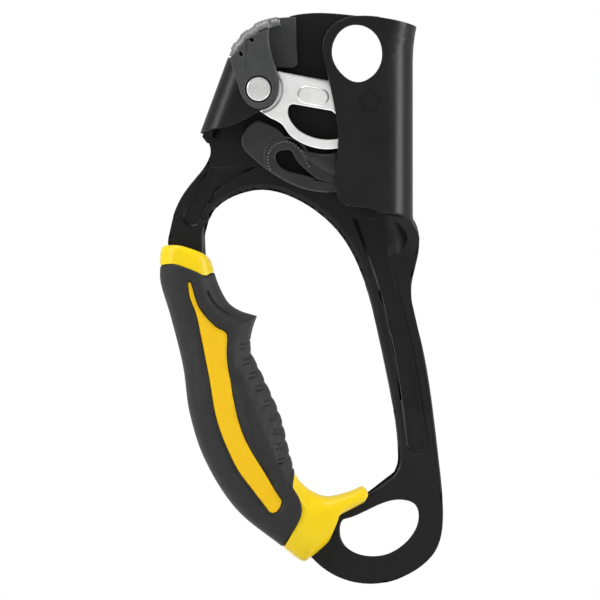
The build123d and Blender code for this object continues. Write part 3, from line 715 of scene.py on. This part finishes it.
def sleeve_relief(spot, along):
    """Creases, soft hollows and finger ribs of the rubber."""
    raised = -0.5 * hollow(distance_to(spot, stripe_closed), 0.8)
    raised -= 0.8 * hollow(distance_to(spot, horn_crease), 0.42)
    raised -= 1.1 * hollow(distance_to(spot, side_hollow), 1.9)
    for mark in rib_marks:
        if abs(mark[0].z - spot.z) < 2 * mm and abs(mark[0].x - spot.x) < 4 * mm:
            raised -= 0.5 * hollow(distance_to(spot, mark), 0.27)
    place = ((-spot.z / mm - head_low) / (eye_drop - head_low) - rib_first) / rib_pitch
    if -0.5 < place < 8.5:
        outside = max(0.0, spot.x / mm - rib_line(spot.z)) / 3.0
        raised -= 0.42 * min(1.0, outside) * (0.5 - 0.5 * cos(2 * pi * place)) ** 4
    return raised


def rib_line(z):
    """Where the ribs' inner ends lie, in mm, at a height."""
    for here, after in zip(rib_column, rib_column[1:]):
        if after.z <= z <= here.z:
            return (here.x + (after.x - here.x) * (here.z - z) / (here.z - after.z)) / mm + 1.2
    return 0.0


sleeve = moulding((sleeve_left, sleeve_right), (collar_seam, rest_seam),
                  lambda along: 11.5, shares(340), 144, 2.7, sleeve_relief, (0.012, 0.012))
for front, back in ((-6.0, -1.0), (24.0, 19.0)):
    sleeve = cut_away(sleeve, outline_prism(stripe_outline, front, back))
even_shading(new_piece("grip_rubber_sleeve", sleeve, "body", "grip_rubber", finishes["grip_sleeve"],
                       "grip_sleeve"), 40)

rim_fall = 0.9          # the stripe's rim lies this much below its top, in mm
for side, front, back in (("front", -1.7, 2.0), ("rear", 19.7, 16.0)):
    stripe = outline_prism(stripe_outline, front, back)
    top = [face for face in stripe.faces if all(abs(vert.co.y - front * mm) < 1e-6 for vert in face.verts)]
    bmesh.ops.inset_region(stripe, faces=top, thickness=0.35 * mm, depth=0.0, use_even_offset=True)
    inner_rim = {edge for face in top for edge in face.edges}
    slope = [face for face in stripe.faces
             if face not in top and any(edge in inner_rim for edge in face.edges)]
    outer_verts = {vert for face in slope for vert in face.verts}
    outer_verts -= {vert for face in top for vert in face.verts}
    bmesh.ops.translate(stripe, verts=list(outer_verts),
                        vec=(0, (rim_fall if side == "front" else -rim_fall) * mm, 0))
    bmesh.ops.triangulate(stripe, faces=stripe.faces)
    even_shading(new_piece("stripe_" + side, stripe, "body", "golden_inlay", finishes["inlay_front"],
                           "inlay_" + side), 40)

# ---- grip: yellow collar and finger rest -----------------------------------------------------------
collar_left = curve([(-73.0, .004), (-73.6, .035), (-73.7, .073)])
collar_right = curve([(-57.0, .049), (-56.3, .070), (-55.6, .095)])
collar_top = curve([(-73.0, .004), (-67.0, .005), (-60.3, .028), (-57.0, .049)])
collar = moulding((collar_left, collar_right), (collar_top, collar_seam), lambda along: 9.9 + 0.6 * along,
                  shares(24), 96, 2.9, None, (0.30, 0.0))
rest_top = curve([(-28.5, .807), (-26.8, .835), (-23.0, .869), (-17.5, .888), (-10.1, .870), (-6.3, .853),
                  (-4.7, .860)])
rest_low = curve([(-32.2, 1.071), (-26.5, 1.115), (-23.5, 1.107), (-17.0, 1.045), (-16.4, 1.001),
                  (-14.1, .962), (-10.1, .937), (-5.4, .912)])
rest_tip = curve([(-5.4, .912), (-4.0, .885), (-4.7, .860)])
finger_rest = moulding((rest_low, rest_top), (rest_seam, rest_tip),
                       lambda along: 10.6 - 1.6 * along ** 2, shares(60), 96, 2.9, None, (0.0, 0.09))
yellow = finishes["grip_core_front"]
even_shading(new_piece("grip_collar", collar, "body", "yellow_plastic", yellow, "grip_core_front"), 40)
even_shading(new_piece("finger_rest", finger_rest, "body", "yellow_plastic", yellow, "grip_core_rear"), 40)

# ---- floor, light and camera ----------------------------------------------------------------------
low, high = (Vector(corner) for corner in cad_box)
middle = (low + high) / 2
view_width = 0.201
view_centre = Vector((-0.0268, 0, -0.0707))

floor_mesh = bmesh.new()
bmesh.ops.create_grid(floor_mesh, x_segments=1, y_segments=1, size=1.6)
bmesh.ops.translate(floor_mesh, verts=floor_mesh.verts, vec=(0, 0, low.z - 0.5 * mm))
floor_data = bpy.data.meshes.new("floor")
floor_mesh.to_mesh(floor_data)
floor = bpy.data.objects.new("floor", floor_data)
bpy.context.scene.collection.objects.link(floor)
pale = Finish("pale_floor", (0.86, 0.86, 0.86), 0.8, specular=0.1)
pale.rough_from(pale.noise(40), 0.75, 0.9)
floor_data.materials.append(pale.material)

world = bpy.data.worlds.new("studio")
world.use_nodes = True
sky = world.node_tree
backdrop = sky.nodes["Background"]
backdrop.inputs["Color"].default_value = (1, 1, 1, 1)
room = sky.nodes.new("ShaderNodeBackground")
room.inputs["Color"].default_value = (1, 1, 1, 1)
room.inputs["Strength"].default_value = 0.80
seen = sky.nodes.new("ShaderNodeLightPath")
either = sky.nodes.new("ShaderNodeMixShader")
sky.links.new(seen.outputs["Is Camera Ray"], either.inputs["Fac"])
sky.links.new(room.outputs["Background"], either.inputs[1])
sky.links.new(backdrop.outputs["Background"], either.inputs[2])
sky.links.new(either.outputs["Shader"], sky.nodes["World Output"].inputs["Surface"])
bpy.context.scene.world = world
bpy.context.scene.view_settings.view_transform = "Standard"


def soft_light(name, place, width, height, power):
    """A soft box that faces the middle of the object."""
    data = bpy.data.lights.new(name, "AREA")
    data.shape = "RECTANGLE"
    data.size = width
    data.size_y = height
    data.energy = power
    light = bpy.data.objects.new(name, data)
    light.location = middle + Vector(place)
    light.rotation_euler = (-Vector(place)).to_track_quat("-Z", "Y").to_euler()
    bpy.context.scene.collection.objects.link(light)


soft_light("side_strip", (0.82, -0.25, 0.05), 0.14, 0.9, 15.0)
soft_light("key", (-0.80, -0.42, 0.40), 0.25, 0.60, 9.0)
soft_light("top", (-0.20, -0.12, 0.90), 0.45, 0.45, 9.0)

camera_data = bpy.data.cameras.new("camera")
camera_data.type = "ORTHO"
camera_data.ortho_scale = view_width
camera_data.clip_end = 20
camera = bpy.data.objects.new("camera", camera_data)
camera.location = view_centre + Vector((0, -1.0, 0))
camera.rotation_euler = (radians(90), 0, 0)
bpy.context.scene.collection.objects.link(camera)
bpy.context.scene.camera = camera
